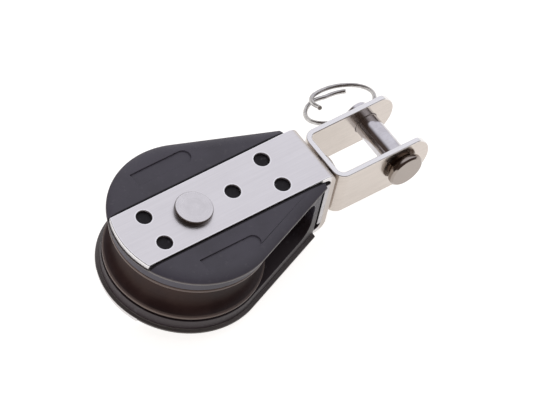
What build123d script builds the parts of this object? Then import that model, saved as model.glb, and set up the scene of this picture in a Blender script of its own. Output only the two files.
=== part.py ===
"""Single sheave block with a swivelling clevis, in millimetres.

The block lies on its side. The origin is the middle of the sheave's axle. X runs along the block
towards the clevis, Y runs along the clevis pin, and Z is the sheave's axle.
"""
import os
from math import acos, asin, atan2, cos, floor, hypot, pi, radians, sin, sqrt

from build123d import *

# ---- Driving dimensions ----

# Sheave
sheave_radius = 25.4
sheave_width = 15.2
groove_depth = 4.6
rim_width = 1.1
rim_round = 0.4

# Ball bearing in the sheave: two rows of loose balls
ball_diameter = 4.0
ball_spacing = 0.15
ball_play = 0.05
ball_end_play = 0.2
land_width = 3.4
land_height = 1.25
race_wall = 2.35
retainer_gap = 0.3

# Axle
axle_radius = 4.0
axle_head_radius = 6.1
axle_head_height = 1.95
axle_head_round = 0.6
sleeve_wall = 2.0
assembly_fit = 0.05

# Cheeks
side_gap = 0.6
cheek_floor = 4.3
cheek_overhang = 1.4
cheek_undercut = 1.2
cheek_lip = 0.6
edge_roll_width = 4.2
edge_roll_drop = 1.3
head_margin = 2.2
head_x = 39.6
web_thickness = 3.0
web_fillet = 5.0
channel_gap = 0.35

# Shallow panels sunk into each cheek's face
panel_depth = 0.5
panel_near = 16.2
panel_width = 4.8
panel_tail_x = -9.1
panel_nose_x = 12.0
panel_corner = 0.6

# Pegs that key each cheek to its strap
peg_radius = 2.45
peg_recess = 1.0
peg_spacing = 11.0
peg_head_x = 30.1
peg_middle_x = 15.0
peg_tail_x = -14.8

# Strap and its backing plate
strap_width = 21.0
strap_thickness = 2.0
strap_proud = 0.4
strap_end_inset = 0.4
strap_bend = 2.5
crown_gap = 1.8
crown_plate_thickness = 1.5

# Swivel
swivel_radius = 3.5
swivel_head_radius = 5.8
swivel_head_height = 2.8
swivel_head_bevel = 0.9
swivel_tail_radius = 5.4
swivel_tail_height = 1.3
swivel_washer_radius = 5.6
swivel_washer_thickness = 2.0
swivel_play = 0.08

# Clevis fork
fork_gap = 17.0
fork_thickness = 1.8
fork_width = 18.2
fork_bend = 2.1
fork_depth = 23.9
fork_tip_radius = 10.5
fork_tip_corner = 2.5

# Clevis pin
pin_radius = 4.0
pin_fit = 0.08
pin_end_play = 0.1
pin_neck_radius = 4.9
pin_neck_length = 1.1
pin_head_radius = 6.1
pin_head_thickness = 1.9
pin_head_bevel = 0.6
pin_tail = 4.2
pin_tail_chamfer = 0.6

# Cotter ring through the pin's tail
ring_radius = 11.2
ring_wire_radius = 0.7
ring_hole_clearance = 0.15
ring_lap_radius = 9.2
ring_lap_lift = 0.78
ring_hook_radius = 6.3
ring_droop = 31
ring_lean = 4

# ---- Worked-out sizes ----

ball_radius = ball_diameter / 2
sleeve_radius = axle_radius + sleeve_wall
race_radius = sleeve_radius + race_wall
pitch_radius = race_radius + ball_play + ball_radius
bore_radius = pitch_radius + ball_radius + ball_play
ball_count = floor(pi / asin((ball_diameter + ball_spacing) / (2 * pitch_radius)))
row_z = land_width / 2 + ball_end_play + ball_radius
retainer_z = row_z + ball_radius + ball_end_play

cheek_inner_z = sheave_width / 2 + side_gap
strap_inner_z = cheek_inner_z + cheek_floor
strap_outer_z = strap_inner_z + strap_thickness
cheek_face_z = strap_outer_z - strap_proud
lip_top_z = cheek_face_z - edge_roll_drop
lip_bottom_z = lip_top_z - cheek_lip

cheek_radius = sheave_radius + cheek_overhang
cheek_end_x = head_x + web_thickness
head_half_width = strap_width / 2 + head_margin
head_distance = hypot(cheek_end_x, head_half_width)
flank_normal = atan2(head_half_width, cheek_end_x) + acos(cheek_radius / head_distance)
roll_radius = (edge_roll_width**2 + edge_roll_drop**2) / (2 * edge_roll_drop)

plate_inner_x = cheek_end_x + crown_gap
crown_inner_x = plate_inner_x + crown_plate_thickness
crown_outer_x = crown_inner_x + strap_thickness
strap_end_radius = cheek_radius - strap_end_inset

fork_base_x = crown_outer_x + swivel_washer_thickness + swivel_play
fork_floor_x = fork_base_x + fork_thickness
ear_inner_y = fork_gap / 2
ear_outer_y = ear_inner_y + fork_thickness
pin_x = fork_floor_x + fork_depth
fork_tip_x = pin_x + fork_tip_radius

ring_hole_y = ear_outer_y + pin_tail / 2
ring_sag = ring_radius - sqrt(ring_radius**2 - pin_radius**2)
ring_hole_radius = ring_sag / 2 + ring_wire_radius + ring_hole_clearance
ring_reach = ring_radius - ring_sag / 2

peg_places = [(peg_middle_x, 0)]
for peg_side in (-1, 1):
    peg_places.append((peg_head_x, peg_side * peg_spacing / 2))
    peg_places.append((peg_tail_x, peg_side * peg_spacing / 2))

os.makedirs("parts", exist_ok=True)


def save(piece, name):
    """Label a finished piece and write it to its own file."""
    piece.label = name
    export_step(piece, f"parts/{name}.step")


def cheek_outline(grow, end_x):
    """Teardrop outline: a circle about the axle and two flanks that run to a straight head."""
    radius = cheek_radius + grow
    tangent_x = radius * cos(flank_normal)
    tangent_y = radius * sin(flank_normal)
    end_y = (radius - end_x * cos(flank_normal)) / sin(flank_normal)
    Circle(radius)
    Polygon(
        (tangent_x, tangent_y),
        (tangent_x, -tangent_y),
        (end_x, -end_y),
        (end_x, end_y),
        align=None,
    )


# ---- Cheeks: moulded sides with a rolled edge, a lip, a strap channel, pegs and half the web ----

roll_overrun = roll_radius - edge_roll_width
with BuildPart() as cheek_cap:
    with BuildSketch(Plane.XY.offset(cheek_face_z - roll_radius - 1)):
        cheek_outline(roll_overrun, cheek_end_x + roll_overrun)
    extrude(amount=roll_radius + 1)
    cap_edges = cheek_cap.faces().sort_by(Axis.Z)[-1].edges()
    fillet(cap_edges.sort_by(Axis.X)[:-1], radius=roll_radius)
    with BuildSketch(Plane.XY.offset(lip_bottom_z)):
        cheek_outline(0, cheek_end_x)
    extrude(amount=cheek_face_z - lip_bottom_z, mode=Mode.INTERSECT)

panel_span = panel_nose_x - panel_tail_x
panel_middle_y = panel_near + panel_width / 2
with BuildPart() as upper_cheek:
    with BuildSketch(Plane.XY.offset(cheek_inner_z)):
        cheek_outline(-cheek_undercut, cheek_end_x)
    extrude(amount=lip_bottom_z - cheek_inner_z)
    add(cheek_cap.part)
    # Half of the web that closes the head
    with BuildSketch():
        cheek_outline(-cheek_undercut, cheek_end_x)
        with Locations((head_x + web_thickness / 2, 0)):
            Rectangle(web_thickness, 2 * cheek_radius, mode=Mode.INTERSECT)
    extrude(amount=cheek_inner_z)
    throat_corner = upper_cheek.edges().filter_by(Axis.Y).filter_by_position(
        Axis.X, head_x - 0.01, head_x + 0.01
    )
    fillet(throat_corner.filter_by_position(Axis.Z, cheek_inner_z - 0.01, cheek_inner_z + 0.01), web_fillet)
    # Channel for the strap
    with BuildSketch(Plane.XY.offset(strap_inner_z)):
        with Locations(((cheek_end_x - cheek_radius) / 2, 0)):
            Rectangle(cheek_end_x + cheek_radius + 2, strap_width + 2 * channel_gap)
    extrude(amount=strap_outer_z - strap_inner_z, mode=Mode.SUBTRACT)
    # Pegs that fill the strap's holes
    with BuildSketch(Plane.XY.offset(strap_inner_z)):
        with Locations(*peg_places):
            Circle(peg_radius)
    extrude(amount=strap_thickness - peg_recess)
    # Hole for the axle sleeve
    with BuildSketch(Plane.XY.offset(cheek_inner_z)):
        Circle(sleeve_radius + assembly_fit)
    extrude(amount=cheek_floor, mode=Mode.SUBTRACT)
    # Shallow panels, square at the tail and round at the nose
    for side in (-1, 1):
        with BuildSketch(Plane.XY.offset(cheek_face_z - panel_depth)) as panel:
            with Locations(((panel_tail_x + panel_nose_x) / 2, side * panel_middle_y)):
                Rectangle(panel_span, panel_width)
            panel_corners = panel.vertices().sort_by(Axis.X)
            fillet(panel_corners[2:], panel_width / 2 - 0.01)
            fillet(panel_corners[:2], panel_corner)
        extrude(amount=strap_outer_z - cheek_face_z + panel_depth, mode=Mode.SUBTRACT)
save(upper_cheek.part, "upper_cheek")

with BuildPart() as lower_cheek:
    add(mirror(upper_cheek.part, about=Plane.XY, mode=Mode.PRIVATE))
save(lower_cheek.part, "lower_cheek")

# ---- Strap: one bent strip over the head, with the holes for the pegs, axle and swivel ----

strap_reach = crown_outer_x + strap_end_radius
with BuildPart() as strap:
    with BuildSketch(Plane.XZ):
        with Locations((crown_outer_x - strap_reach / 2, 0)):
            outer = Rectangle(strap_reach, 2 * strap_outer_z)
        fillet(outer.vertices().sort_by(Axis.X)[2:], strap_bend + strap_thickness)
        with BuildSketch(Plane.XZ, mode=Mode.SUBTRACT):
            with Locations((crown_inner_x - strap_reach / 2, 0)):
                inner = Rectangle(strap_reach, 2 * strap_inner_z)
            fillet(inner.vertices().sort_by(Axis.X)[2:], strap_bend)
    extrude(amount=strap_width / 2, both=True)
    with BuildSketch(Plane.XY.offset(-strap_outer_z)):
        Circle(strap_end_radius)
        with Locations((crown_outer_x / 2, 0)):
            Rectangle(crown_outer_x, strap_width)
    extrude(amount=2 * strap_outer_z, mode=Mode.INTERSECT)
    with BuildSketch(Plane.XY.offset(-strap_outer_z)):
        Circle(axle_radius + assembly_fit)
        with Locations(*peg_places):
            Circle(peg_radius + assembly_fit)
    extrude(amount=2 * strap_outer_z, mode=Mode.SUBTRACT)
    with BuildSketch(Plane.YZ.offset(crown_inner_x)):
        Circle(swivel_radius + assembly_fit)
    extrude(amount=strap_thickness, mode=Mode.SUBTRACT)
save(strap.part, "strap")

plate_height = 2 * (strap_inner_z - strap_bend)
with BuildPart() as crown_plate:
    with BuildSketch(Plane.YZ.offset(plate_inner_x)):
        Rectangle(strap_width, plate_height)
        Circle(swivel_radius + assembly_fit, mode=Mode.SUBTRACT)
    extrude(amount=crown_plate_thickness)
save(crown_plate.part, "crown_plate")

# ---- Axle: a solid rivet headed over both straps, in a sleeve that spaces the straps apart ----

with BuildPart() as axle_rivet:
    with BuildSketch(Plane.XY.offset(-strap_outer_z)):
        Circle(axle_radius)
    extrude(amount=2 * strap_outer_z)
    for side in (-1, 1):
        with BuildSketch(Plane.XY.offset(side * strap_outer_z)):
            Circle(axle_head_radius)
        extrude(amount=side * axle_head_height)
    head_faces = axle_rivet.faces().filter_by(Axis.Z).sort_by(Axis.Z)
    fillet(head_faces[0].edges() + head_faces[-1].edges(), axle_head_round)
save(axle_rivet.part, "axle_rivet")

with BuildPart() as axle_sleeve:
    with BuildSketch(Plane.XY.offset(-strap_inner_z)):
        Circle(sleeve_radius)
        Circle(axle_radius + assembly_fit, mode=Mode.SUBTRACT)
    extrude(amount=2 * strap_inner_z)
save(axle_sleeve.part, "axle_sleeve")

# ---- Bearing: inner race, two rows of balls and a retaining ring beside each row ----

with BuildPart() as inner_race:
    with BuildSketch(Plane.XY.offset(-cheek_inner_z)):
        Circle(race_radius)
        Circle(sleeve_radius + assembly_fit, mode=Mode.SUBTRACT)
    extrude(amount=2 * cheek_inner_z)
    with BuildSketch(Plane.XY.offset(-land_width / 2)):
        Circle(race_radius + land_height)
        Circle(race_radius - race_wall / 2, mode=Mode.SUBTRACT)
    extrude(amount=land_width)
save(inner_race.part, "inner_race")

for name, side in (("upper", 1), ("lower", -1)):
    with BuildPart() as balls:
        with Locations(Plane.XY.offset(side * row_z)):
            with PolarLocations(pitch_radius, ball_count):
                Sphere(ball_radius)
    save(balls.part, f"{name}_balls")

    with BuildPart() as retainer:
        with BuildSketch(Plane.XY.offset(side * retainer_z)):
            Circle(bore_radius - retainer_gap)
            Circle(race_radius + assembly_fit, mode=Mode.SUBTRACT)
        extrude(amount=side * (cheek_inner_z - retainer_z))
    save(retainer.part, f"{name}_ball_retainer")

# ---- Sheave: a grooved wheel whose bore has a land between the two rows of balls ----

groove_half = sheave_width / 2 - rim_width
groove_radius = (groove_half**2 + groove_depth**2) / (2 * groove_depth)
with BuildPart() as sheave:
    with BuildSketch(Plane.XZ):
        with Locations(((bore_radius + sheave_radius) / 2, 0)):
            Rectangle(sheave_radius - bore_radius, sheave_width)
        with Locations((bore_radius - land_height / 2, 0)):
            Rectangle(land_height, land_width)
        with Locations((sheave_radius - groove_depth + groove_radius, 0)):
            Circle(groove_radius, mode=Mode.SUBTRACT)
    revolve(axis=Axis.Z)
    rim_edges = sheave.edges().filter_by(GeomType.CIRCLE).filter_by(
        lambda edge: abs(edge.radius - sheave_radius) < 0.01
    )
    fillet(rim_edges, rim_round)
save(sheave.part, "sheave")

# ---- Swivel: a rivet through the fork, washer, strap crown and backing plate ----

with BuildPart() as swivel_rivet:
    with BuildSketch(Plane.YZ.offset(plate_inner_x)):
        Circle(swivel_radius)
    extrude(amount=fork_floor_x + swivel_play - plate_inner_x)
    with BuildSketch(Plane.YZ.offset(fork_floor_x + swivel_play)):
        Circle(swivel_head_radius)
    extrude(amount=swivel_head_height)
    chamfer(swivel_rivet.faces().sort_by(Axis.X)[-1].edges(), swivel_head_bevel)
    with BuildSketch(Plane.YZ.offset(plate_inner_x)):
        Circle(swivel_tail_radius)
    extrude(amount=-swivel_tail_height)
    fillet(swivel_rivet.faces().sort_by(Axis.X)[0].edges(), swivel_tail_height / 3)
save(swivel_rivet.part, "swivel_rivet")

with BuildPart() as swivel_washer:
    with BuildSketch(Plane.YZ.offset(crown_outer_x)):
        Circle(swivel_washer_radius)
        Circle(swivel_radius + assembly_fit, mode=Mode.SUBTRACT)
    extrude(amount=swivel_washer_thickness)
save(swivel_washer.part, "swivel_washer")

# ---- Clevis fork: a bent strip with two round-ended ears ----

fork_length = fork_tip_x - fork_base_x
with BuildPart() as clevis_fork:
    with BuildSketch():
        with Locations((fork_base_x + fork_length / 2, 0)):
            outer = Rectangle(fork_length, 2 * ear_outer_y)
        fillet(outer.vertices().sort_by(Axis.X)[:2], fork_bend + fork_thickness)
        with BuildSketch(mode=Mode.SUBTRACT):
            with Locations((fork_floor_x + fork_length / 2, 0)):
                inner = Rectangle(fork_length, fork_gap)
            fillet(inner.vertices().sort_by(Axis.X)[:2], fork_bend)
    extrude(amount=fork_width / 2, both=True)
    with BuildSketch(Plane.XZ) as ear_shape:
        with Locations((pin_x, 0)):
            Circle(fork_tip_radius)
        with Locations(((fork_base_x + pin_x) / 2, 0)):
            Rectangle(pin_x - fork_base_x, fork_width)
        with Locations(((fork_base_x + fork_tip_x) / 2, 0)):
            Rectangle(fork_length, fork_width, mode=Mode.INTERSECT)
        fillet(ear_shape.vertices().group_by(Axis.X)[-1], fork_tip_corner)
    extrude(amount=ear_outer_y, both=True, mode=Mode.INTERSECT)
    with BuildSketch(Plane.XZ):
        with Locations((pin_x, 0)):
            Circle(pin_radius + pin_fit)
    extrude(amount=ear_outer_y, both=True, mode=Mode.SUBTRACT)
    with BuildSketch(Plane.YZ.offset(fork_base_x)):
        Circle(swivel_radius + swivel_play)
    extrude(amount=fork_thickness, mode=Mode.SUBTRACT)
save(clevis_fork.part, "clevis_fork")

# The ring hangs: the hole it goes through leans off the X direction and the ring droops about that hole
lean = radians(ring_lean)
droop = radians(ring_droop)
hole_way = Vector(cos(lean), 0, sin(lean))
reach_way = Vector(sin(droop) * sin(lean), cos(droop), -sin(droop) * cos(lean))
ring_plane = Plane(origin=(pin_x, ring_hole_y, 0), x_dir=hole_way, z_dir=hole_way.cross(reach_way))

# ---- Clevis pin: an undercut head on one side, a cross hole for the ring on the other ----

head_back_y = -(ear_outer_y + pin_end_play)
head_front_y = head_back_y - pin_neck_length
tail_y = ear_outer_y + pin_tail


def across_pin(y):
    """Plane square to the clevis pin, facing the pin's tail."""
    return Plane(origin=(pin_x, y, 0), z_dir=(0, 1, 0))


with BuildPart() as clevis_pin:
    with BuildSketch(across_pin(head_back_y)):
        Circle(pin_radius)
    extrude(amount=tail_y - head_back_y)
    chamfer(clevis_pin.faces().sort_by(Axis.Y)[-1].edges(), pin_tail_chamfer)
    with BuildSketch(across_pin(head_back_y)):
        Circle(pin_neck_radius)
    extrude(amount=-pin_neck_length)
    with BuildSketch(across_pin(head_front_y)):
        Circle(pin_head_radius)
    extrude(amount=-pin_head_thickness)
    chamfer(clevis_pin.faces().sort_by(Axis.Y)[0].edges(), pin_head_bevel)
    with BuildSketch(Plane(origin=(pin_x, ring_hole_y, 0), z_dir=hole_way)):
        Circle(ring_hole_radius)
    extrude(amount=pin_radius + 1, both=True, mode=Mode.SUBTRACT)
save(clevis_pin.part, "clevis_pin")

# ---- Cotter ring: a turn and a quarter of wire, lapped at the far side, with one end hooked in ----

lap_start = 44
lap_part = 84
lap_merge = 112
lift_start = 360
hook_start = 472
hook_end = 519
knot_step = 6.25


def blend(value, low, high):
    """Smooth step from 0 at low to 1 at high."""
    share = min(max((value - low) / (high - low), 0), 1)
    return share * share * (3 - 2 * share)


def ring_point(angle):
    """Centre of the wire at an angle counted along it, in degrees from the hole's direction."""
    radius = ring_lap_radius + (ring_radius - ring_lap_radius) * blend(angle, lap_part, lap_merge)
    radius -= (ring_radius - ring_hook_radius) * blend(angle, hook_start - 12, hook_end)
    height = ring_lap_lift * (blend(angle, lift_start, hook_start - 12) - 1 + blend(angle, 150, 235))
    turn = radians(angle)
    return ring_plane.from_local_coords(Vector(radius * cos(turn), ring_reach + radius * sin(turn), height))


ring_knots = [lap_start + knot_step * step for step in range(floor((hook_end - lap_start) / knot_step) + 1)]
with BuildPart() as cotter_ring:
    with BuildLine() as wire_path:
        first_way = ring_point(lap_start + 0.1) - ring_point(lap_start)
        stretch = TangentArc(ring_point(ring_knots[0]), ring_point(ring_knots[1]), tangent=first_way)
        for knot in ring_knots[2:]:
            stretch = TangentArc(stretch @ 1, ring_point(knot), tangent=stretch % 1)
    with BuildSketch(Plane(origin=wire_path.line @ 0, z_dir=wire_path.line % 0)):
        Circle(ring_wire_radius)
    sweep()
save(cotter_ring.part, "cotter_ring")
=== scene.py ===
"""Single sheave block with a swivelling clevis: its looks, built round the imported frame."""
from math import cos, pi, radians, sin, sqrt, tan

import bmesh
import bpy
from mathutils import Matrix, Vector


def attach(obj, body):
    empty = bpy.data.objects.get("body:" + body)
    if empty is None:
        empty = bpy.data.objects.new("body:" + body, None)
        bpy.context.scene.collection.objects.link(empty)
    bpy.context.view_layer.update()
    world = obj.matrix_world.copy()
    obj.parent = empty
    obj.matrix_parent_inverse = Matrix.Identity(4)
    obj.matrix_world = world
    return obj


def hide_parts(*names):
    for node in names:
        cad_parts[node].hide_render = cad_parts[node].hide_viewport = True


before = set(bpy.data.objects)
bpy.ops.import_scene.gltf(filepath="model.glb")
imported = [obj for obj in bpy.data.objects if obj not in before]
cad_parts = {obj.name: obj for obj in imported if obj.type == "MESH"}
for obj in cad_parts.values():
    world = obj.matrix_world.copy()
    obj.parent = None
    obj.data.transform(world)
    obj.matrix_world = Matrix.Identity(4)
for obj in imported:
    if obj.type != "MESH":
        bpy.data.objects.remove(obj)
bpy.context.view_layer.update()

MM = 0.001

# ---- Axle sleeve and inner race ----
# The sleeve is a length of steel tube that holds the two straps apart when the axle is headed.
# The inner race is moulded in white acetal, pressed over the sleeve, with a land between its tracks.


class Shade:
    """One output of a node tree. Arithmetic on it adds Math nodes to the same tree."""

    def __init__(self, tree, out):
        self.tree = tree
        self.out = out

    def node(self, kind, settings, sockets, take=0):
        """Add a node: its settings first, then a value or a link for each socket."""
        made = self.tree.nodes.new(kind)
        for setting, value in settings.items():
            if setting == "stops":
                for stop, (place, colour) in zip(made.color_ramp.elements, value):
                    stop.position = place
                    stop.color = (*colour, 1)
            else:
                setattr(made, setting, value)
        for socket, value in sockets.items():
            if isinstance(value, Shade):
                self.tree.links.new(value.out, made.inputs[socket])
            else:
                made.inputs[socket].default_value = value
        return Shade(self.tree, made.outputs[take])

    def math(self, operation, first, second=0.0):
        return self.node("ShaderNodeMath", {"operation": operation}, {0: first, 1: second})

    def __add__(self, other):
        return self.math("ADD", self, other)

    __radd__ = __add__

    def __sub__(self, other):
        return self.math("SUBTRACT", self, other)

    def __rsub__(self, other):
        return self.math("SUBTRACT", other, self)

    def __mul__(self, other):
        return self.math("MULTIPLY", self, other)

    __rmul__ = __mul__

    def __pow__(self, other):
        return self.math("POWER", self, other)

    def __abs__(self):
        return self.math("ABSOLUTE", self)

    def axes(self):
        """The three coordinates of a place."""
        parts = self.node("ShaderNodeSeparateXYZ", {}, {0: self}).out.node
        return [Shade(self.tree, out) for out in parts.outputs]

    def stretched(self, x, y, z):
        """A place with each coordinate scaled."""
        return self.node("ShaderNodeVectorMath", {"operation": "MULTIPLY"}, {0: self, 1: (x, y, z)})

    def noise(self, scale, detail=2.0, roughness=0.5):
        """Seamless noise from 0 to 1 at a place."""
        return self.node(
            "ShaderNodeTexNoise", {}, {"Vector": self, "Scale": scale, "Detail": detail, "Roughness": roughness}
        )

    def step(self, low, high):
        """Smooth step of a value, from 0 at low to 1 at high."""
        limits = {"Value": self, "From Min": low, "From Max": high}
        return self.node("ShaderNodeMapRange", {"interpolation_type": "SMOOTHSTEP"}, limits)

    def band(self, low, high, soft):
        """1 between low and high, fading over soft on each side."""
        return self.step(low - soft, low) * (1 - self.step(high, high + soft))

    def blend(self, colour, other):
        """Colour where this value is 0 and the other one where it is 1."""
        sockets = {0: self}
        for socket, value in ((6, colour), (7, other)):
            sockets[socket] = value if isinstance(value, Shade) else (*value, 1)
        return self.node("ShaderNodeMix", {"data_type": "RGBA"}, sockets, take=2)

    def relief(self, depth, strength):
        """Surface normal that this value raises by up to depth metres."""
        return self.node("ShaderNodeBump", {}, {"Height": self, "Distance": depth, "Strength": strength})


def new_finish(name, **fixed):
    """A material with its shader's fixed values, its shader, and the piece's own coordinates."""
    material = bpy.data.materials.new(name)
    material.use_nodes = True
    tree = material.node_tree
    shader = tree.nodes["Principled BSDF"]
    for socket, value in fixed.items():
        shader.inputs[socket.replace("_", " ")].default_value = value
    return material, shader, Shade(tree, tree.nodes.new("ShaderNodeTexCoord").outputs["Object"])


def feed(shader, **varying):
    """Link what changes over the surface to the shader."""
    for socket, value in varying.items():
        value.tree.links.new(value.out, shader.inputs[socket.replace("_", " ")])


def from_axis(place, along):
    """Distance from a turning axis through the origin, for the axis X, Y or Z."""
    across = [value for axis, value in zip("XYZ", place.axes()) if axis != along]
    return (across[0] * across[0] + across[1] * across[1]) ** 0.5


def turned_steel(name, along, centre, light, dark, smooth, rough, shaded=None):
    """Stainless steel off the lathe: fine tool lines about its axis and a few light rubs.

    shaded gives, from the distance to the axis and the place along it, shares and tones that stand in
    for shade and reflections there."""
    material, shader, place = new_finish(name, Metallic=1.0)
    at = place.node("ShaderNodeVectorMath", {"operation": "SUBTRACT"}, {0: place, 1: centre})
    radius, height = from_axis(at, along), at.axes()["XYZ".index(along)]
    profile = at.node("ShaderNodeCombineXYZ", {}, {"X": radius, "Y": height})
    lines = profile.noise(3200.0, 3.0, 0.6)
    rubs = place.noise(260.0, 3.0, 0.6)
    skin = (lines * 0.35 + rubs * 0.65).step(0.3, 0.7).blend(dark, light)
    for share, tone in shaded(radius, height) if shaded else ():
        skin = share.blend(skin, tone)
    feed(shader, Base_Color=skin)
    feed(shader, Roughness=smooth + (rough - smooth) * (lines * 0.5 + rubs * 0.5))
    feed(shader, Normal=lines.relief(0.000005, 0.35))
    return material


def moulded_acetal(name, pale, warm):
    """Acetal as it leaves the mould: even, faintly mottled, with a satin skin."""
    material, shader, place = new_finish(name)
    shader.inputs["Specular IOR Level"].default_value = 0.5
    clouds = place.noise(140.0, 3.0)
    skin = place.noise(1700.0, 2.0)
    feed(shader, Base_Color=clouds.step(0.3, 0.7).blend(pale, warm))
    feed(shader, Roughness=0.32 + 0.16 * skin)
    feed(shader, Normal=skin.relief(0.00001, 0.25))
    return material


PIVOT = 0.001
WELD = 0.0000005
lathe = bpy.data.node_groups.new("turned outline", "GeometryNodeTree")
for socket, kind in (
    ("Outline", "NodeSocketObject"),
    ("Facets", "NodeSocketInt"),
    ("Pivot radius", "NodeSocketFloat"),
    ("Finish", "NodeSocketMaterial"),
):
    lathe.interface.new_socket(name=socket, in_out="INPUT", socket_type=kind)
lathe.interface.new_socket(name="Piece", in_out="OUTPUT", socket_type="NodeSocketGeometry")
given = {out.name: Shade(lathe, out) for out in lathe.nodes.new("NodeGroupInput").outputs}
build = given["Outline"].node
outline = build("GeometryNodeObjectInfo", {}, {"Object": given["Outline"]}, take="Geometry")
circle = build(
    "GeometryNodeCurvePrimitiveCircle", {}, {"Resolution": given["Facets"], "Radius": given["Pivot radius"]}
)
swept = build("GeometryNodeCurveToMesh", {}, {"Curve": circle, "Profile Curve": outline})
closed = build("GeometryNodeMergeByDistance", {}, {"Geometry": swept, "Distance": WELD})
real = build("GeometryNodeRealizeInstances", {}, {"Geometry": closed})


def end_with(result):
    """Make this the tree's result."""
    result.tree.links.new(result.out, result.tree.nodes.new("NodeGroupOutput").inputs[0])


end_with(build("GeometryNodeSetMaterial", {}, {"Geometry": real, "Material": given["Finish"]}))


def made_by(tree, name, sizes):
    """Run a Geometry Nodes tree with its named sizes and keep the result as a plain mesh."""
    piece = bpy.data.objects.new(name, bpy.data.meshes.new(name + "_start"))
    bpy.context.scene.collection.objects.link(piece)
    maker = piece.modifiers.new(tree.name, "NODES")
    maker.node_group = tree
    for item in tree.interface.items_tree:
        if item.name in sizes:
            maker[item.identifier] = sizes[item.name]
    graph = bpy.context.evaluated_depsgraph_get()
    mesh = bpy.data.meshes.new_from_object(piece.evaluated_get(graph))
    piece.modifiers.remove(maker)
    piece.data = mesh
    return piece


def settle(piece, crease=32.0):
    """Point the faces outwards and shade the piece smooth, except across its creases."""
    work = bmesh.new()
    work.from_mesh(piece.data)
    bmesh.ops.recalc_face_normals(work, faces=work.faces)
    work.to_mesh(piece.data)
    work.free()
    piece.data.shade_smooth()
    piece.data.set_sharp_from_angle(angle=radians(crease))
    weight = piece.modifiers.new("flat faces lead", "WEIGHTED_NORMAL")
    weight.keep_sharp = True
    return piece


def rounded(corners, steps=4):
    """Points of an outline given as (radius, height, rounding), with an arc at each rounding."""
    points = []
    for index, (radius, height, rounding) in enumerate(corners):
        corner = Vector((radius, height))
        if not rounding:
            points.append(corner)
            continue
        back = (Vector(corners[index - 1][:2]) - corner).normalized()
        on = (Vector(corners[(index + 1) % len(corners)][:2]) - corner).normalized()
        half = back.angle(on) / 2
        centre = corner + (back + on).normalized() * rounding / sin(half)
        first = (corner + back * rounding / tan(half) - centre).normalized()
        last = (corner + on * rounding / tan(half) - centre).normalized()
        for step in range(steps + 1):
            points.append(centre + first.slerp(last, step / steps) * rounding)
    return points


def turned(name, corners, finish, closed=False, facets=128, place=Matrix.Identity(4)):
    """A piece turned from an outline in millimetres about the Z axis, then put in its place."""
    points = rounded(corners)
    curve = bpy.data.curves.new(name + "_outline", "CURVE")
    curve.dimensions = "3D"
    spline = curve.splines.new("POLY")
    spline.points.add(len(points) - 1)
    for point, (radius, height) in zip(spline.points, points):
        point.co = (radius * MM - PIVOT, -height * MM, 0, 1)
    spline.use_cyclic_u = closed
    drawn = bpy.data.objects.new(name + "_outline", curve)
    bpy.context.scene.collection.objects.link(drawn)
    sizes = {"Outline": drawn, "Facets": facets, "Pivot radius": PIVOT, "Finish": finish}
    piece = made_by(lathe, name, sizes)
    bpy.data.objects.remove(drawn)
    piece.data.transform(place)
    return settle(piece)


def install(piece, body, slot, *nodes):
    """The piece rides on its body and stands for its CAD nodes."""
    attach(piece, body)
    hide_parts(*nodes)


sleeve_bore = 4.05
sleeve_outside = 6.0
sleeve_half = 12.5
tube_steel = turned_steel("cut steel tube", "Z", (0, 0, 0), (0.62, 0.61, 0.60), (0.42, 0.41, 0.40), 0.25, 0.45)
sleeve = turned(
    "axle_sleeve_tube",
    [
        (sleeve_outside, sleeve_half, 0.25),
        (sleeve_bore, sleeve_half, 0.25),
        (sleeve_bore, -sleeve_half, 0.25),
        (sleeve_outside, -sleeve_half, 0.25),
    ],
    tube_steel,
    closed=True,
)
install(sleeve, "block", "axle_sleeve", "axle_sleeve")

race_bore = 6.05
race_track = 8.35
race_half = 8.2
land_top = 9.6
land_half = 1.7
white_acetal = moulded_acetal("white acetal", (0.70, 0.67, 0.58), (0.62, 0.58, 0.49))
race = turned(
    "inner_race_moulding",
    [
        (race_bore, race_half, 0.3),
        (race_bore, -race_half, 0.3),
        (race_track, -race_half, 0.3),
        (race_track, -land_half, 0.3),
        (land_top, -land_half, 0.3),
        (land_top, land_half, 0.3),
        (race_track, land_half, 0.3),
        (race_track, race_half, 0.3),
    ],
    white_acetal,
    closed=True,
)
install(race, "block", "inner_race", "inner_race")

# ---- Sheave ----
# One moulding in dark brown glass-filled nylon, with a rope groove between two thin flanges.
# Its bore has a land that runs between the two rows of balls. The rims are rubbed by the rope.

rim_radius = 25.4
groove_floor = 20.8
bore_radius = 12.45
bore_land = 11.2
half_width = 7.6
groove_half = 6.5
web_sink = 0.35
groove_round = (groove_half**2 + (rim_radius - groove_floor) ** 2) / (2 * (rim_radius - groove_floor))
groove_centre = groove_floor + groove_round

brown_nylon, shader, place = new_finish("brown glass-filled nylon")
shader.inputs["Specular IOR Level"].default_value = 0.22
radius = from_axis(place, "Z")
height = abs(place.axes()[2])
rings = place.node("ShaderNodeCombineXYZ", {}, {"X": radius, "Y": height, "Z": 0.0}).noise(2300.0, 3.0, 0.6)
streaks = place.node("ShaderNodeCombineXYZ", {}, {"X": radius, "Y": height, "Z": 0.0}).noise(420.0, 2.0)
clouds = place.noise(90.0, 3.0, 0.6)
rubbed = radius.step(0.0246, 0.0252) * height.band(0.0062, 0.0078, 0.0003)
floor_wear = (1 - radius.step(0.0213, 0.0232)) * clouds.step(0.25, 0.6)
skin = clouds.step(0.3, 0.7).blend((0.022, 0.011, 0.0105), (0.034, 0.0185, 0.0170))
skin = (streaks.step(0.45, 0.75) * 0.5).blend(skin, (0.045, 0.026, 0.022))
skin = (floor_wear * 0.4).blend(skin, (0.046, 0.028, 0.022))
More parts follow.
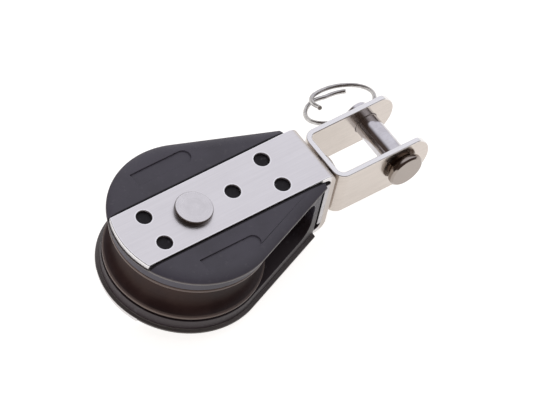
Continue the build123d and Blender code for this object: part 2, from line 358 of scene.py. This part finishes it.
skin = (rubbed * (0.55 + 0.45 * rings)).blend(skin, (0.14, 0.105, 0.092))
feed(shader, Base_Color=skin)
feed(shader, Roughness=0.30 + 0.14 * rings + 0.15 * floor_wear)
feed(shader, Normal=(rings * 0.7 + streaks * 0.8).relief(0.00003, 0.5))

groove = []
groove_steps = 30
for step in range(groove_steps + 1):
    z = groove_half * cos(pi * step / groove_steps)
    groove.append((groove_centre - sqrt(groove_round**2 - z**2), z, 0.4 if step in (0, groove_steps) else 0))
flange = [
    (bore_radius, half_width, 0.3),
    (14.2, half_width, 0.2),
    (14.6, half_width - web_sink, 0.2),
    (21.6, half_width - web_sink, 0.2),
    (22.0, half_width, 0.2),
    (rim_radius, half_width, 0.35),
]
sheave = turned(
    "grooved_sheave",
    [
        *groove[::-1],
        *flange[::-1],
        (bore_radius, land_half, 0.3),
        (bore_land, land_half, 0.3),
        (bore_land, -land_half, 0.3),
        (bore_radius, -land_half, 0.3),
        *[(r, -z, ease) for r, z, ease in flange],
    ],
    brown_nylon,
    closed=True,
    facets=240,
)
install(sheave, "sheave", "sheave", "sheave")

# ---- Balls and ball retainers ----
# Two rows of loose acetal balls run between the race and the sheave's bore, one each side of the land.
# A flat acetal ring pressed on the race beside each row keeps the balls in.

ball_radius = 2.0
pitch_radius = 10.4
row_height = 3.9
balls_in_row = 15
retainer_outside = 12.15
retainer_inner_face = 6.1

ball_row = bpy.data.node_groups.new("row of balls", "GeometryNodeTree")
for socket, kind in (
    ("Ball radius", "NodeSocketFloat"),
    ("Pitch radius", "NodeSocketFloat"),
    ("Row height", "NodeSocketFloat"),
    ("Balls", "NodeSocketInt"),
    ("Finish", "NodeSocketMaterial"),
):
    ball_row.interface.new_socket(name=socket, in_out="INPUT", socket_type=kind)
ball_row.interface.new_socket(name="Piece", in_out="OUTPUT", socket_type="NodeSocketGeometry")
given = {out.name: Shade(ball_row, out) for out in ball_row.nodes.new("NodeGroupInput").outputs}
build = given["Balls"].node
track = build("GeometryNodeMeshCircle", {}, {"Vertices": given["Balls"], "Radius": given["Pitch radius"]})
lift = build("ShaderNodeCombineXYZ", {}, {"Z": given["Row height"]})
raised = build("GeometryNodeTransform", {}, {"Geometry": track, "Translation": lift})
ball = build("GeometryNodeMeshUVSphere", {}, {"Segments": 28, "Rings": 16, "Radius": given["Ball radius"]})
set_out = build("GeometryNodeInstanceOnPoints", {}, {"Points": raised, "Instance": ball})
real = build("GeometryNodeRealizeInstances", {}, {"Geometry": set_out})
end_with(build("GeometryNodeSetMaterial", {}, {"Geometry": real, "Material": given["Finish"]}))

ball_acetal = moulded_acetal("ball acetal", (0.74, 0.72, 0.64), (0.66, 0.62, 0.53))
black_acetal = moulded_acetal("black acetal", (0.018, 0.018, 0.020), (0.030, 0.029, 0.031))
for side, name in ((1, "upper"), (-1, "lower")):
    sizes = {
        "Ball radius": ball_radius * MM,
        "Pitch radius": pitch_radius * MM,
        "Row height": side * row_height * MM,
        "Balls": balls_in_row,
        "Finish": ball_acetal,
    }
    row = settle(made_by(ball_row, f"{name}_ball_row", sizes), crease=180.0)
    install(row, "balls", "balls", f"{name}_balls")
    retainer = turned(
        f"{name}_retaining_ring",
        [
            (retainer_outside, side * retainer_inner_face, 0.25),
            (race_track + 0.05, side * retainer_inner_face, 0.25),
            (race_track + 0.05, side * race_half, 0.25),
            (retainer_outside, side * race_half, 0.25),
        ],
        black_acetal,
        closed=True,
    )
    install(retainer, "block", "retainer", f"{name}_ball_retainer")

# ---- Cheeks ----
# Each cheek is moulded in black glass-filled nylon, with a rolled edge, a thin lip and a channel for the strap.
# Five pegs on it fill the strap's holes, and the web at its head meets the other cheek's.

black_nylon, shader, place = new_finish("black glass-filled nylon")
shader.inputs["Specular IOR Level"].default_value = 0.5
height = abs(place.axes()[2])
clouds = place.noise(70.0, 4.0, 0.6)
grain = place.noise(1500.0, 3.0, 0.65)
specks = place.noise(620.0, 2.0)
lip = height.band(0.01205, 0.01285, 0.00012)
channel = (1 - abs(place.axes()[1]).step(0.0112, 0.0114)) * height.step(0.0125, 0.0128)
skin = clouds.step(0.3, 0.7).blend((0.038, 0.034, 0.046), (0.049, 0.044, 0.060))
# browner below the middle plane, near black on the pegs and beside the channel: both stand in for shade
skin = (0.75 - 0.75 * place.axes()[2].step(-0.006, 0.004)).blend(skin, (0.024, 0.0135, 0.013))
skin = (channel * 0.85).blend(skin, (0.004, 0.0035, 0.004))
skin = (specks.step(0.62, 0.72) * 0.35).blend(skin, (0.075, 0.070, 0.080))
# lighter along the lip: a painted highlight
skin = (lip * (0.35 + 0.5 * clouds)).blend(skin, (0.17, 0.155, 0.145))
feed(shader, Base_Color=skin)
feed(shader, Roughness=0.40 + 0.16 * grain - 0.08 * lip + 0.35 * channel)
feed(shader, Normal=(grain + specks * 0.5).relief(0.00004, 0.35))


flatness = 2e-7
border_per_ease = 1.25
broad_per_border = 1.6


def flat_group(start, seen):
    """The faces joined to one face that lie in its plane."""
    plane, normal = start.verts[0].co.copy(), start.normal.copy()
    group, front = [start], [start]
    seen.add(start)
    while front:
        near = [other for edge in front.pop().edges for other in edge.link_faces]
        for other in near:
            if other not in seen and all(abs((corner.co - plane).dot(normal)) < flatness for corner in other.verts):
                seen.add(other)
                group.append(other)
                front.append(other)
    return group


def eased_copy(node, name, ease, finish, segments=2):
    """A CAD node's own shape with its sharp edges eased by so many millimetres.

    Each broad flat face first gets a narrow border, so that its edges are eased evenly all round."""
    work = bmesh.new()
    work.from_mesh(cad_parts[node].data)
    bmesh.ops.remove_doubles(work, verts=work.verts, dist=WELD)
    seen = set()
    groups = [
        flat_group(face, seen)
        for face in sorted(work.faces, key=lambda face: face.calc_area(), reverse=True)
        if face not in seen
    ]
    border_width = ease * border_per_ease * MM
    for group in groups:
        inside = set(group)
        rim = sum(
            edge.calc_length() for face in group for edge in face.edges if not inside.issuperset(edge.link_faces)
        )
        if rim and sum(face.calc_area() for face in group) / rim > broad_per_border * border_width:
            bmesh.ops.inset_region(
                work, faces=group, thickness=border_width, use_even_offset=True, use_boundary=True
            )
    mesh = bpy.data.meshes.new(name)
    work.to_mesh(mesh)
    work.free()
    for layer in [layer for layer in mesh.attributes if layer.name == "custom_normal"]:
        mesh.attributes.remove(layer)
    mesh.materials.clear()
    mesh.materials.append(finish)
    piece = bpy.data.objects.new(name, mesh)
    bpy.context.scene.collection.objects.link(piece)
    mesh.shade_smooth()
    edge = piece.modifiers.new("eased edges", "BEVEL")
    edge.width = ease * MM
    edge.segments = segments
    edge.limit_method = "ANGLE"
    edge.angle_limit = radians(32)
    edge.use_clamp_overlap = False
    edge.miter_outer = "MITER_ARC"
    edge.face_strength_mode = "FSTR_ALL"
    weight = piece.modifiers.new("flat faces lead", "WEIGHTED_NORMAL")
    weight.use_face_influence = True
    return piece


for name in ("upper_cheek", "lower_cheek"):
    cheek = eased_copy(name, f"{name}_moulding", 0.12, black_nylon)
    install(cheek, "block", name, name)

# ---- Strap and backing plate ----
# One strip of stainless sheet is punched, bent over the head and laid in both cheeks' channels.
# It is brushed along its length. A short plain plate backs it up inside the crown.


def brushed_steel(name, light, dark, smooth, rough, along, painted_light=None):
    """Stainless sheet brushed along a direction, with cloudy patches and a few stray scratches.

    The last argument gives, from a place, shares and tones of painted highlights on the edges and of painted
    reflections on other parts."""
    material, shader, place = new_finish(name, Metallic=1.0)
    brush = place.stretched(*along).noise(1.0, 3.0, 0.7)
    broad = place.stretched(*[value * 0.25 for value in along]).noise(1.0, 2.0, 0.5)
    clouds = place.noise(85.0, 3.0, 0.6)
    stray = place.stretched(along[1] * 0.25, along[0] * 6, along[2]).noise(1.0, 1.0).step(0.72, 0.78)
    tone = (brush * 0.5 + broad * 0.25 + clouds * 0.25).step(0.3, 0.7)
    skin = tone.blend(dark, light)
    for share, tone in painted_light(place) if painted_light else ():
        skin = share.blend(skin, tone)
    feed(shader, Base_Color=skin)
    feed(shader, Roughness=smooth + (rough - smooth) * brush + 0.05 * stray)
    feed(shader, Normal=(brush + broad - stray * 0.5).relief(0.00002, 0.2))
    return material


strap_half_width = 0.0105
strap_end_radius = 0.0264
punched_radius = 0.0025
punched_at = [(0.0150, 0), (0.0301, 0.0055), (0.0301, -0.0055), (-0.0148, 0.0055), (-0.0148, -0.0055)]


def strap_painted_light(place):
    """A beige tone past the bend, standing in for reflections, and painted highlights along the sheared edges and
    round the hole rims.
    """
    x, y, z = place.axes()
    near = abs(y).step(strap_half_width - 0.0005, strap_half_width - 0.0002)
    end = from_axis(place, "Z").step(strap_end_radius - 0.0006, strap_end_radius - 0.0002) * (1 - x.step(-0.002, 0))
    near = near.math("MAXIMUM", near, end)
    for hole_x, hole_y in punched_at:
        apart = ((x - hole_x) * (x - hole_x) + (y - hole_y) * (y - hole_y)) ** 0.5
        near = near.math("MAXIMUM", near, 1 - apart.step(punched_radius + 0.0003, punched_radius + 0.0006))
    crown = x.step(0.0450, 0.0466)
    return (crown, (0.50, 0.455, 0.42)), (near * abs(z).step(0.0139, 0.0141) * (1 - crown), (0.88, 0.88, 0.89))


strap_steel = brushed_steel(
    "brushed strap steel", (0.73, 0.715, 0.72), (0.67, 0.655, 0.66), 0.26, 0.40, (60, 2600, 60), strap_painted_light
)
strap = eased_copy("strap", "bent_strap", 0.28, strap_steel)
install(strap, "block", "strap", "strap")

plate_steel = brushed_steel(
    "plain plate steel", (0.60, 0.59, 0.60), (0.44, 0.43, 0.44), 0.30, 0.50, (300, 200, 2400)
)
backing = eased_copy("crown_plate", "backing_plate", 0.15, plate_steel)
install(backing, "block", "crown_plate", "crown_plate")

# ---- Axle rivet ----
# A solid stainless rivet through both straps and the sleeve, headed cold at each end.
# Each head is a flat polished disc with a rounded rim, faintly crowned by the press.

axle_radius = 4.0
axle_head_radius = 6.1
strap_face = 14.5
head_height = 1.95
crown = 0.06
head_round = 0.55



def rivet_marks(radius, height):
    """A near-black tone on the side of each head, standing in for shade."""
    return ((radius.step(0.00590, 0.00605), (0.16, 0.14, 0.13)),)


rivet_steel = turned_steel(
    "headed rivet steel", "Z", (0, 0, 0), (0.68, 0.665, 0.67), (0.60, 0.585, 0.59), 0.16, 0.34, rivet_marks
)
head = [
    (0.0, strap_face + head_height, 0),
    (2.6, strap_face + head_height - crown * 0.25, 0),
    (axle_head_radius - 0.9, strap_face + head_height - crown, 0),
    (axle_head_radius, strap_face + head_height - crown * 1.3, head_round),
    (axle_head_radius, strap_face, 0.12),
    (axle_radius, strap_face, 0),
]
axle = turned("headed_axle", [*head, *[(r, -z, ease) for r, z, ease in head[::-1]]], rivet_steel)
install(axle, "block", "axle_rivet", "axle_rivet")

# ---- Swivel washer and swivel rivet ----
# The washer spaces the fork off the strap's crown. The rivet holds both, headed inside the fork,
# with enough play for the fork to turn freely. Both are turned from stainless bar.

plate_inner_x = 44.4
crown_outer_x = 47.9
washer_thickness = 2.0
washer_radius = 5.6
swivel_radius = 3.5
fork_floor_x = 51.86
tail_radius = 5.4
tail_height = 1.3
swivel_head_radius = 5.8
swivel_head_height = 2.8
along_x = Matrix.Rotation(pi / 2, 4, "Y")

swivel_steel = turned_steel("swivel steel", "X", (0, 0, 0), (0.70, 0.68, 0.66), (0.52, 0.50, 0.48), 0.14, 0.32)
washer = turned(
    "swivel_spacer",
    [
        (washer_radius, crown_outer_x + washer_thickness, 0.3),
        (swivel_radius + 0.05, crown_outer_x + washer_thickness, 0.2),
        (swivel_radius + 0.05, crown_outer_x, 0.2),
        (washer_radius, crown_outer_x, 0.3),
    ],
    swivel_steel,
    closed=True,
    place=along_x,
)
install(washer, "block", "swivel_washer", "swivel_washer")
swivel = turned(
    "headed_swivel",
    [
        (0, plate_inner_x - tail_height, 0),
        (tail_radius, plate_inner_x - tail_height, 0.43),
        (tail_radius, plate_inner_x, 0.1),
        (swivel_radius, plate_inner_x, 0),
        (swivel_radius, fork_floor_x, 0),
        (swivel_head_radius, fork_floor_x, 0.15),
        (swivel_head_radius, fork_floor_x + swivel_head_height - 0.9, 0.3),
        (swivel_head_radius - 0.9, fork_floor_x + swivel_head_height, 0.3),
        (0, fork_floor_x + swivel_head_height, 0),
    ],
    swivel_steel,
    place=along_x,
)
install(swivel, "block", "swivel_rivet", "swivel_rivet")

# ---- Clevis fork ----
# A narrower strip of stainless sheet bent into a fork, its two ears rounded and bored for the pin.
# It is tumbled to a soft polish, so its edges are eased more than the strap's.

fork_half_width = 0.0091
fork_tip_radius = 0.0105
pin_x = 75.68


def fork_painted_highlights(place):
    """Painted highlights on the fork's tumbled edges, along its strip and round its ears."""
    x, y, z = place.axes()
    along_strip = abs(z).step(fork_half_width - 0.0004, fork_half_width - 0.0001)
    from_pin = ((x - pin_x * MM) * (x - pin_x * MM) + z * z) ** 0.5
    tips = from_pin.step(fork_tip_radius - 0.0004, fork_tip_radius - 0.0001) * x.step(pin_x * MM, pin_x * MM + 0.001)
    return ((along_strip.math("MAXIMUM", along_strip, tips), (0.78, 0.775, 0.77)),)


# the beige tint of this steel is a painted reflection
fork_steel = brushed_steel(
    "polished fork steel", (0.61, 0.555, 0.51), (0.55, 0.50, 0.455), 0.12, 0.24, (120, 500, 1500), fork_painted_highlights
)
fork = eased_copy("clevis_fork", "bent_clevis_fork", 0.32, fork_steel, segments=3)
install(fork, "fork", "clevis_fork", "clevis_fork")

# ---- Clevis pin ----
# Turned from stainless bar, with an undercut head on one side and a cross hole for the ring on the other.
# It is polished bright, with faint turning lines.

pin_radius = 4.0
pin_back_y = -10.4
neck_radius = 4.9
neck_length = 1.1
pin_head_radius = 6.1
pin_head_thickness = 1.9
pin_tail_y = 14.5
ring_hole_y = 12.4
ring_hole_radius = 1.219
ring_hole_lean = 4
ring_droop = 31
pin_place = Matrix.Translation((pin_x * MM, 0, 0)) @ Matrix.Rotation(-pi / 2, 4, "X")
hole_place = Matrix.Translation((pin_x * MM, ring_hole_y * MM, 0)) @ Matrix.Rotation(-radians(ring_hole_lean), 4, "Y")



def pin_marks(radius, height):
    """Beige on the head's face and dark brown in the undercut, both standing in for reflections."""
    behind = height.step(-0.0116, -0.0115)
    undercut = behind * (1 - height.step(-0.01045, -0.01035))
    return (1 - behind, (0.34, 0.30, 0.27)), (undercut, (0.12, 0.085, 0.062))


pin_steel = turned_steel(
    "polished pin steel", "Y", (pin_x * MM, 0, 0), (0.64, 0.63, 0.655), (0.52, 0.505, 0.52), 0.09, 0.20, pin_marks
)
pin = turned(
    "turned_clevis_pin",
    [
        (0, pin_back_y - neck_length - pin_head_thickness, 0),
        (pin_head_radius - 0.6, pin_back_y - neck_length - pin_head_thickness, 0.25),
        (pin_head_radius, pin_back_y - neck_length - pin_head_thickness + 0.6, 0.25),
        (pin_head_radius, pin_back_y - neck_length, 0.15),
        (neck_radius, pin_back_y - neck_length, 0.1),
        (neck_radius, pin_back_y, 0.1),
        (pin_radius, pin_back_y, 0),
        (pin_radius, pin_tail_y - 0.6, 0.25),
        (pin_radius - 0.6, pin_tail_y, 0.25),
        (0, pin_tail_y, 0),
    ],
    pin_steel,
    place=pin_place,
)
bit = turned(
    "ring_hole_bit",
    [(0, -9, 0), (ring_hole_radius, -9, 0), (ring_hole_radius, 9, 0), (0, 9, 0)],
    pin_steel,
    facets=48,
    place=hole_place @ along_x,
)
drill = pin.modifiers.new("ring hole", "BOOLEAN")
drill.object = bit
drill.solver = "EXACT"
graph = bpy.context.evaluated_depsgraph_get()
drilled = bpy.data.meshes.new_from_object(pin.evaluated_get(graph))
pin.modifiers.clear()
pin.data = drilled
bpy.data.objects.remove(bit)
settle(pin)
install(pin, "pin", "clevis_pin", "clevis_pin")

# ---- Cotter ring ----
# Spring wire wound a turn and a quarter: it passes through the pin, laps itself at the far side,
# and one end is hooked inwards to take a finger nail.

wire_radius = 0.7
ring_reach = 10.831
ring_radius = 11.2
lap_radius = 9.2
hook_radius = 6.3
lap_lift = 0.78
lap_start = 44
hook_start = 472
hook_end = 519
wire_steps = 160


ring_place = hole_place @ Matrix.Rotation(-radians(ring_droop), 4, "X")


def eased_share(value, low, high):
    """Smooth step from 0 at low to 1 at high."""
    share = min(max((value - low) / (high - low), 0), 1)
    return share * share * (3 - 2 * share)


def wire_place(angle):
    """Centre of the wire at an angle counted along it, in metres."""
    radius = lap_radius + (ring_radius - lap_radius) * eased_share(angle, 84, 112)
    radius -= (ring_radius - hook_radius) * eased_share(angle, hook_start - 12, hook_end)
    height = lap_lift * (eased_share(angle, 360, hook_start - 12) - 1 + eased_share(angle, 150, 235))
    turn = radians(angle)
    return ring_place @ (Vector((radius * cos(turn), ring_reach + radius * sin(turn), height)) * MM)


wire_tree = bpy.data.node_groups.new("wire along a path", "GeometryNodeTree")
for socket, kind in (
    ("Path", "NodeSocketObject"),
    ("Wire radius", "NodeSocketFloat"),
    ("Sides", "NodeSocketInt"),
    ("Finish", "NodeSocketMaterial"),
):
    wire_tree.interface.new_socket(name=socket, in_out="INPUT", socket_type=kind)
wire_tree.interface.new_socket(name="Piece", in_out="OUTPUT", socket_type="NodeSocketGeometry")
given = {out.name: Shade(wire_tree, out) for out in wire_tree.nodes.new("NodeGroupInput").outputs}
build = given["Path"].node
path = build("GeometryNodeObjectInfo", {}, {"Object": given["Path"]}, take="Geometry")
section = build("GeometryNodeCurvePrimitiveCircle", {}, {"Resolution": given["Sides"], "Radius": given["Wire radius"]})
wire = build("GeometryNodeCurveToMesh", {}, {"Curve": path, "Profile Curve": section, "Fill Caps": True})
real = build("GeometryNodeRealizeInstances", {}, {"Geometry": wire})
end_with(build("GeometryNodeSetMaterial", {}, {"Geometry": real, "Material": given["Finish"]}))

ring_steel, shader, place = new_finish("drawn ring wire", Metallic=1.0)
drawn = place.stretched(700, 700, 700).noise(1.0, 3.0, 0.6)
fine = place.noise(2600.0, 2.0)
feed(shader, Base_Color=drawn.step(0.3, 0.7).blend((0.42, 0.41, 0.40), (0.58, 0.57, 0.56)))
feed(shader, Roughness=0.18 + 0.14 * fine)
feed(shader, Normal=fine.relief(0.00001, 0.3))

path_curve = bpy.data.curves.new("ring_path", "CURVE")
path_curve.dimensions = "3D"
spline = path_curve.splines.new("POLY")
spline.points.add(wire_steps)
for step, point in enumerate(spline.points):
    point.co = (*wire_place(lap_start + (hook_end - lap_start) * step / wire_steps), 1)
path_object = bpy.data.objects.new("ring_path", path_curve)
bpy.context.scene.collection.objects.link(path_object)
sizes = {"Path": path_object, "Wire radius": wire_radius * MM, "Sides": 24, "Finish": ring_steel}
ring = made_by(wire_tree, "wound_cotter_ring", sizes)
bpy.data.objects.remove(path_object)
settle(ring, crease=50.0)
install(ring, "ring", "cotter_ring", "cotter_ring")

# ---- Floor, light and camera ----
# The block lies on its side on a plain pale floor in a room that is bright on one side, under two soft
# lamps that reflections don't show. The floor gives off some light, so that it comes out white.
# The camera looks down on it from a long way off with a long lens.

floor_height = -0.01645
floor_size = 6.0
bpy.ops.mesh.primitive_plane_add(size=floor_size, location=(0, 0, floor_height))
floor = bpy.context.object
floor.name = "studio_floor"
paper, shader, place = new_finish("pale paper floor", Roughness=0.9)
shader.inputs["Specular IOR Level"].default_value = 0.1
shader.inputs["Emission Strength"].default_value = 0.88
feed(shader, Base_Color=place.noise(8.0, 2.0).blend((0.38, 0.38, 0.38), (0.40, 0.40, 0.40)))
shader.inputs["Emission Color"].default_value = (1.0, 0.98, 0.96, 1)
floor.data.materials.append(paper)

world = bpy.data.worlds.new("white room")
bpy.context.scene.world = world
world.use_nodes = True
sky = Shade(world.node_tree, world.node_tree.nodes.new("ShaderNodeTexCoord").outputs["Generated"])
bright_way = (0.53, 0.38, 0.76)
towards_bright = sky.node("ShaderNodeVectorMath", {"operation": "DOT_PRODUCT"}, {0: sky, 1: bright_way}, take=1)
tone = towards_bright.step(0.40, 0.82).blend((0.09, 0.065, 0.055), (0.94, 0.93, 1.0))
world.node_tree.links.new(tone.out, world.node_tree.nodes["Background"].inputs["Color"])

# a large softbox beyond the clevis, and a weaker one low on the tail's side; the room gives the reflections
for name, size, power, spot in (
    ("softbox", 0.9, 1.25, (0.31, 0.22, 0.47)),
    ("low softbox", 0.35, 1.8, (-0.52, -0.10, 0.10)),
):
    lamp_data = bpy.data.lights.new(name, "AREA")
    lamp_data.size = size
    lamp_data.energy = power
    lamp = bpy.data.objects.new(name, lamp_data)
    bpy.context.scene.collection.objects.link(lamp)
    lamp.location = spot
    lamp.visible_glossy = False
    lamp.rotation_mode = "QUATERNION"
    lamp.rotation_quaternion = (Vector((0.03, 0, 0)) - lamp.location).to_track_quat("-Z", "Y")

back = Vector((-0.45229, -0.41780, 0.78796)).normalized()
right = Vector((0.79965, -0.58121, 0.15083))
right = (right - right.dot(back) * back).normalized()
upward = back.cross(right)
aim = Vector((0.020239, -0.011552, 0.019992))
distance = 2.4
view_width = 0.165706
camera_data = bpy.data.cameras.new("camera")
camera_data.sensor_width = 36
camera_data.lens = 36 * distance / view_width
camera_data.clip_start = 0.05
camera_data.clip_end = 20
camera = bpy.data.objects.new("camera", camera_data)
bpy.context.scene.collection.objects.link(camera)
turn = Matrix((right, upward, back)).transposed().to_4x4()
camera.matrix_world = Matrix.Translation(aim + back * distance) @ turn
bpy.context.scene.camera = camera
bpy.context.scene.view_settings.view_transform = "Standard"
